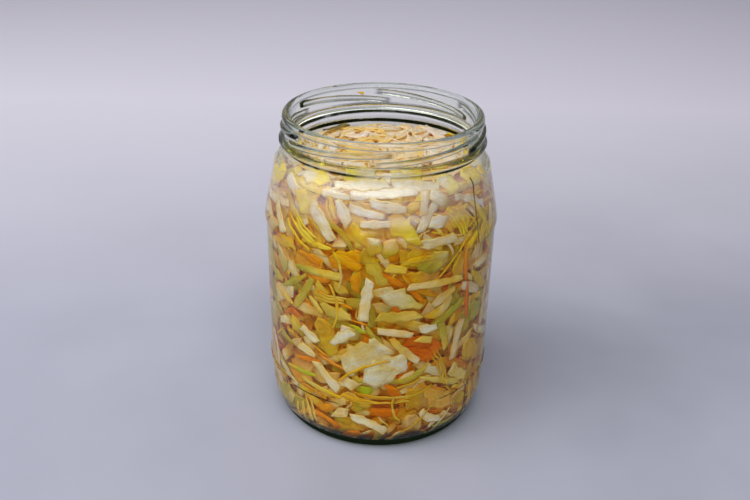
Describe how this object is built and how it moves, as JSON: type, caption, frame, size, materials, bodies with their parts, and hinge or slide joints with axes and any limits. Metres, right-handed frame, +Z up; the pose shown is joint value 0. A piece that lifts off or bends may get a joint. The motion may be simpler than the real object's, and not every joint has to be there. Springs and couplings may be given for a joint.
{
  "type": "jar of sauerkraut",
  "caption": "Open clear glass jar filled to the shoulder with shredded sauerkraut and carrot in brine, no lid and no label.",
  "frame": {"origin": "centre of the base on the surface that the jar stands on", "axes": "+Z up along the jar's own axis, -Y towards the front as the picture shows it, +X to the right"},
  "size_m": [0.0932, 0.0932, 0.1293],
  "materials": {
    "glass": "clear, polished, faint green at the thick edges",
    "kraut": "wet shredded cabbage and carrot in brine"
  },
  "bodies": {
    "root": {"glass_jar": "glass", "sauerkraut": "kraut"}
  },
  "joints": []
}
